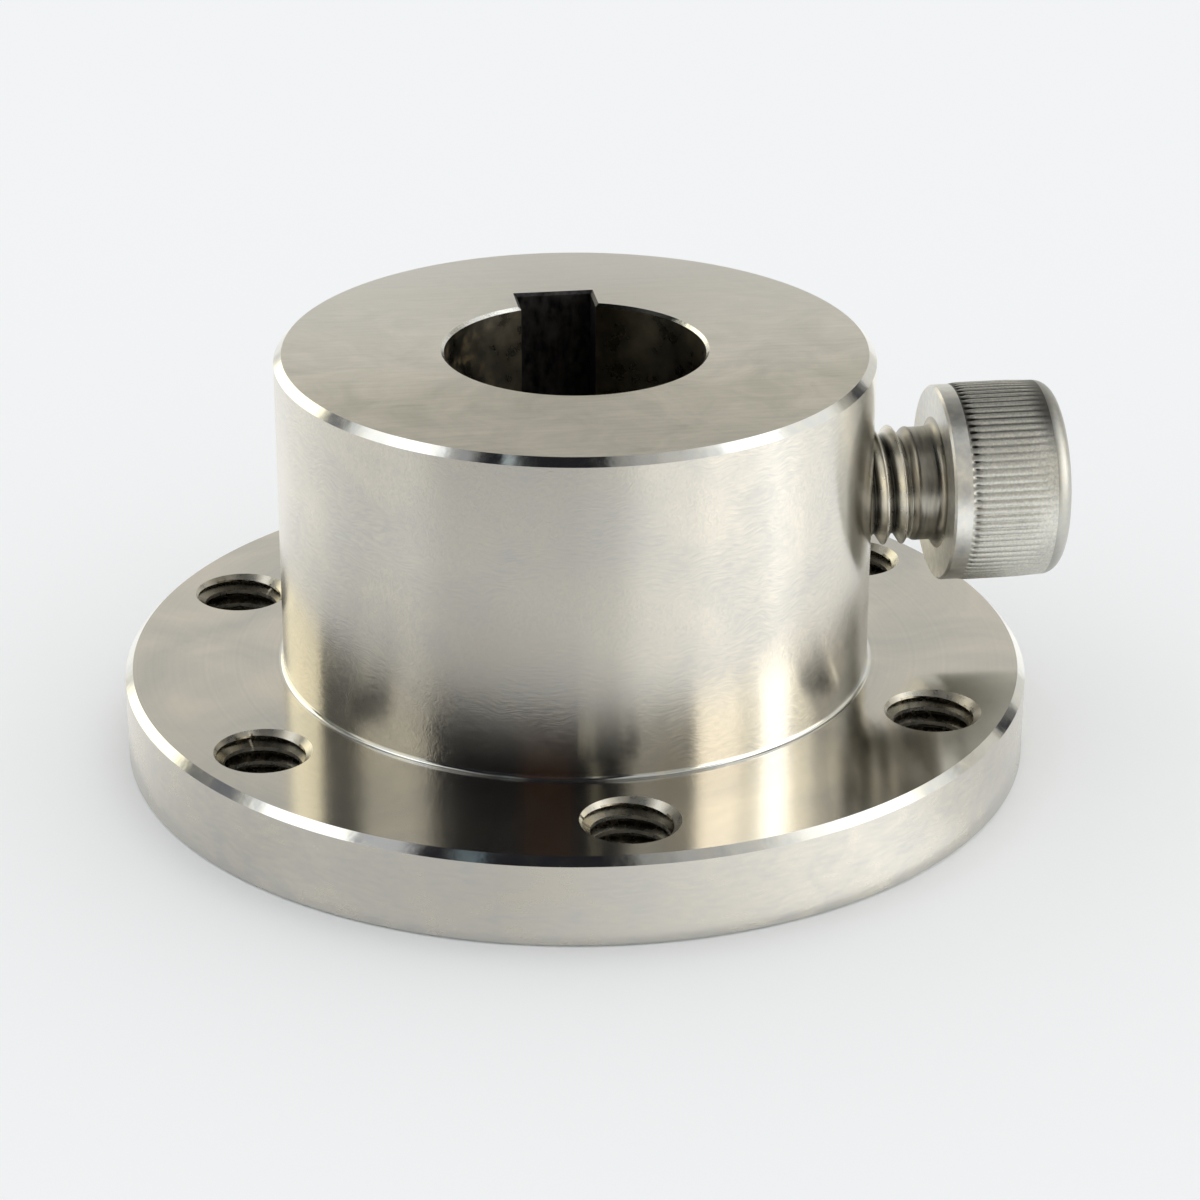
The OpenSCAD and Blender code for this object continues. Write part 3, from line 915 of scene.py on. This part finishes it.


# Stage

# Glossy steel shows the room round it, so the stage has a glowing surround that only reflections see, a
# painted
# reflection of the room: cards, lamps and windows painted on a dome, and a painted lit table. The bare room
# has one colour, and a share of its brightness at some elevations. Each card runs between two azimuths and
# two elevations in degrees, counted from the camera to the right and up from the floor, and has a colour and
# the width of its soft edges in azimuth. In elevation all have the same edge.
ROOM = (0.84, 0.82, 0.76)
ROOM_RISE = [(0, 1.0), (18, 1.0), (23, 0.93), (30, 0.76), (42, 0.5), (55, 0.22), (70, 0.14), (90, 0.06)]
DOME_RADIUS = 0.6
CARD_EDGE = 6
CARDS = [
    # The dark room round the camera, up over the top of the dome
    (-57, 22, -3, 180, (0.02, 0.02, 0.023), 6),
    (22, 47, -3, 60, (0.5, 0.48, 0.42), 7),
    (-20, -1, 10, 40, (0.06, 0.03, 0.02), 3),
    (6, 9, 6, 30, (0.5, 0.48, 0.38), 1.5),
    (19, 34, 30, 56, (0.7, 0.69, 0.64), 4),
    (-67, -52, 42, 57, (0.6, 0.6, 0.6), 6),
    (-70, -57, 57, 70, (0.42, 0.42, 0.42), 5),
    # A wall that grows lighter towards the window on the right
    (22, 34, 48, 76, (0.36, 0.355, 0.34), 6),
    (34, 48, 48, 74, (0.5, 0.49, 0.47), 5),
    (48, 60, 46, 72, (0.66, 0.65, 0.62), 5),
    (60, 70, 53, 70, (0.78, 0.77, 0.74), 4),
    (60, 68, 42, 53, (1.05, 1.04, 1.0), 4),
    (69, 79, 52, 66, (1.05, 1.04, 1.0), 4),
    (68, 77, 40, 52, (1.5, 1.49, 1.45), 4),
    # Left side: a pale wall, a dark gap, and a curtain in yellow light
    (-92, -57, 0, 34, (1.0, 0.97, 0.85), 5),
    (-118, -90, 0, 34, (0.22, 0.22, 0.19), 5),
    (-152, -118, 4, 34, (2.2, 2.06, 1.6), 6),
    (-120, -113.5, 4, 24, (2.2, 2.06, 1.6), 2),
    # Right side: a window between two pale walls, and a dark door behind it
    (47, 66, 0, 36, (3.0, 2.8, 2.42), 4),
    (66, 74, 0, 36, (2.1, 2.02, 1.78), 3),
    (75, 90, 0, 38, (4.5, 4.4, 4.2), 2),
    (91, 103, 0, 36, (2.2, 2.1, 1.78), 4),
    (104, 128, 4, 36, (0.5, 0.47, 0.4), 5),
    (104, 127, -2, 22, (0.8, 0.77, 0.7), 2),
    (104, 125, 26.6, 36, (0.98, 0.96, 0.9), 1.5),
    (110, 118, 22.8, 24, (0.8, 0.77, 0.7), 1),
    (126.3, 135.5, 8, 23, (0.045, 0.045, 0.05), 1.5),
    (134, 138.5, 12.5, 22, (0.1, 0.1, 0.1), 2),
    (128, 146, 23, 30, (0.35, 0.33, 0.28), 4),
    # Soft boxes over the sides with a gap, and two narrow cards high in front
    (-108, -98, 38, 58, (1.1, 1.1, 1.05), 4),
    (-101, -92, 37, 58, (1.45, 1.45, 1.4), 3),
    (-116.5, -98, 26, 38, (0.2, 0.2, 0.21), 3),
    (-92, -68.5, 36, 57, (1.9, 1.9, 1.85), 3),
    (77, 100, 34, 62, (1.9, 1.9, 1.85), 4),
    (99, 121, 28, 48, (1.12, 1.11, 1.06), 4),
    (-42, -36, 60, 72, (0.5, 0.55, 0.56), 3),
    (-39, -31, 54, 60, (0.16, 0.2, 0.22), 3),
]
# The table's colour, the reach of its rings in millimetres, and how bright it is at some azimuths: where the
# barrel sees it, 50 mm off and more, and close to the flange, where a painted shadow of the hub lies on it
TABLE = (1.0, 0.995, 0.965)
TABLE_RINGS = (31, 38, 42, 46, 50, 110, 180, 600)
TABLE_FAR = [
    (-180, 1.0), (-150, 1.0), (-132, 1.15), (-105, 1.08), (-75, 0.85), (-50, 0.91), (-40, 0.82), (0, 0.85),
    (12, 0.96), (20, 1.14), (45, 1.33), (60, 1.4), (70, 1.62), (85, 1.33), (98, 1.28), (108, 1.2),
    (122, 1.24), (140, 1.2), (180, 0.9)]
TABLE_NEAR = [
    (-180, 0.85), (-95, 0.96), (-85, 0.92), (-65, 0.74), (-48, 0.66), (-38, 0.72), (-10, 0.74),
    (10, 0.97), (25, 1.15), (45, 1.4), (55, 1.27), (62, 0.97), (76, 0.8), (180, 0.85)]
# Near gives way to far between these distances.
TABLE_SHADE = (38 * MM, 50 * MM)
# Painted shade on the table's front, from the dark of the room: between two azimuths, and ever darker over
# these distances
TABLE_FRONT = (-55, 23)
TABLE_DARK = (100 * MM, 190 * MM)
FLOOR_RADIUS = 3.0


def soft_window(value, low, high, edge):
    """1 between low and high and 0 beyond them, with a soft edge of a width over each."""
    half = edge / 2
    return smoothstep(value, low - half, low + half) * (1 - smoothstep(value, high - half, high + half))


def surround(stage):
    """The glowing dome and the painted table that only reflections see. Each card covers what lies behind it
    by the product of two soft windows, one in azimuth and one in elevation."""
    azimuth, elevation = np.meshgrid(np.linspace(-180, 180, 361), np.linspace(0, 90, 61))
    tone = np.interp(elevation, *zip(*ROOM_RISE))[..., None] * ROOM
    for start, end, low, high, shade, edge in CARDS:
        shown = soft_window(azimuth, start, end, edge) * soft_window(elevation, low, high, CARD_EDGE)
        tone += (np.array(shade) - tone) * shown[..., None]
    turn, rise = stage.azimuth - TURN / 4 + np.radians(azimuth), np.radians(elevation)
    dome = HUB_AXIS.point(DOME_RADIUS * np.cos(rise), turn, DOME_RADIUS * np.sin(rise))
    # The table lies just over the floor.
    reach, table_turn = np.meshgrid(np.array(TABLE_RINGS) * MM, turn[0], indexing="ij")
    table = HUB_AXIS.point(reach, table_turn, 0.05 * MM)
    far, near = (np.interp(azimuth[0], *zip(*shares)) for shares in (TABLE_FAR, TABLE_NEAR))
    close = 1 - smoothstep(reach, *TABLE_SHADE)
    dim = 1 - 0.85 * smoothstep(reach, *TABLE_DARK) * soft_window(azimuth[0], *TABLE_FRONT, 10)
    table_tone = ((far * (1 - close) + near * close) * dim)[..., None] * TABLE

    points = np.concatenate([dome.reshape(-1, 3), table.reshape(-1, 3)])
    corners = np.concatenate([quads(*turn.shape), quads(*reach.shape) + turn.size])
    mesh = bpy.data.meshes.new("studio_surround")
    mesh.from_pydata(points.tolist(), [], corners.tolist())
    rgba = np.ones((len(points), 4), np.float32)
    rgba[:, :3] = np.concatenate([tone.reshape(-1, 3), table_tone.reshape(-1, 3)])
    mesh.color_attributes.new("tone", "FLOAT_COLOR", "POINT").data.foreach_set("color", rgba.ravel())
    material = bpy.data.materials.new("studio_light")
    tree = empty_tree(material)
    shade = add(tree, "Attribute", output="Color", attribute_name="tone")
    add(tree, "OutputMaterial", {"Surface": add(tree, "Emission", {"Color": shade})})
    material.cycles.emission_sampling = "NONE"
    mesh.materials.append(material)
    piece = put("studio_surround", mesh)
    for kind in ("camera", "diffuse", "transmission", "volume_scatter", "shadow"):
        setattr(piece, "visible_" + kind, False)
    return piece


def floor_piece(stage):
    """A pale matt disc, far wider than the object. Rings of points lie ever further apart."""
    reach, turn = np.meshgrid(np.geomspace(0.004, FLOOR_RADIUS, 24), np.linspace(0, TURN, 97), indexing="ij")
    reach[0] = 0
    skin = Skin()
    points = HUB_AXIS.point(reach, turn, 0)
    skin.grid(points, np.broadcast_to([0.0, 0.0, 1.0], points.shape), 0)
    material = bpy.data.materials.new("matt_paper")
    tree = empty_tree(material)
    matt = add(tree, "BsdfDiffuse", {"Color": (*stage.background, 1), "Roughness": 0.0})
    add(tree, "OutputMaterial", {"Surface": matt})
    return skin.build("studio_floor", [material])


def make_stage(context):
    """Floor, light and camera. The world is an even white, so the floor renders in its own colour."""
    stage = context.scene.stage_look
    floor_piece(stage)
    surround(stage)
    world = bpy.data.worlds.new("studio_world")
    tree = empty_tree(world)
    rays = add(tree, "LightPath", output="Is Camera Ray")
    shade = add(tree, "Mix", {0: rays, 6: (1, 1, 1, 1), 7: (*stage.background, 1)}, 2, data_type="RGBA")
    add(tree, "OutputWorld", {"Surface": add(tree, "Background", {"Color": shade, "Strength": 1.0})})
    context.scene.world = world
    context.scene.view_settings.view_transform = "Standard"

    data = bpy.data.cameras.new("product_camera")
    data.sensor_width = 36
    data.lens = 111.81
    data.shift_x = 0.02075
    data.shift_y = 0.0095
    data.clip_start = 0.01
    data.clip_end = 20
    camera = put("product_camera", data)
    out = math.cos(stage.elevation) * stage.distance
    camera.location = (
        math.sin(stage.azimuth) * out, -math.cos(stage.azimuth) * out,
        stage.aim + math.sin(stage.elevation) * stage.distance)
    camera.rotation_euler = (TURN / 4 - stage.elevation, 0, stage.azimuth)
    context.scene.camera = camera


# Operators

class AddStage(bpy.types.Operator):
    """Adds the floor, the light and the camera"""

    bl_idname = "keyed_hub.add_stage"
    bl_label = "Stage"

    def execute(self, context):
        make_stage(context)
        return {"FINISHED"}


class AddHub(bpy.types.Operator):
    """Adds the flanged hub with its bore, keyway and tapped holes"""

    bl_idname = "keyed_hub.add_hub"
    bl_label = "Hub"

    def execute(self, context):
        piece = make_hub(context)
        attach(piece, "hub")
        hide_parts("hub")
        return {"FINISHED"}


class AddScrew(bpy.types.Operator):
    """Adds the knurled lock screw"""

    bl_idname = "keyed_hub.add_screw"
    bl_label = "Lock screw"

    def execute(self, context):
        piece = make_screw(context)
        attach(piece, "lock_screw")
        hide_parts("lock_screw")
        return {"FINISHED"}


class KeyedHubPanel(bpy.types.Panel):
    """Lists the pieces of the hub and their settings"""

    bl_idname = "VIEW3D_PT_keyed_hub"
    bl_label = "Keyed hub"
    bl_space_type = "VIEW_3D"
    bl_region_type = "UI"
    bl_category = "Keyed hub"

    def draw(self, context):
        for operator in OPERATORS:
            self.layout.operator(operator.bl_idname)
        for name in GROUPS:
            group = getattr(context.scene, name)
            box = self.layout.box()
            for setting in group.__annotations__:
                box.prop(group, setting)


GROUPS = {"hub_sizes": HubSizes, "screw_sizes": ScrewSizes, "finishes": Finishes, "stage_look": StageLook}
OPERATORS = (AddStage, AddHub, AddScrew)


def register():
    for kind in (*GROUPS.values(), *OPERATORS, KeyedHubPanel):
        bpy.utils.register_class(kind)
    for name, group in GROUPS.items():
        setattr(bpy.types.Scene, name, PointerProperty(type=group))


def unregister():
    for name in GROUPS:
        delattr(bpy.types.Scene, name)
    for kind in reversed((*GROUPS.values(), *OPERATORS, KeyedHubPanel)):
        bpy.utils.unregister_class(kind)


def main():
    register()
    bpy.ops.keyed_hub.add_stage()
    bpy.ops.keyed_hub.add_hub()
    bpy.ops.keyed_hub.add_screw()


if __name__ == "__main__":
    main()
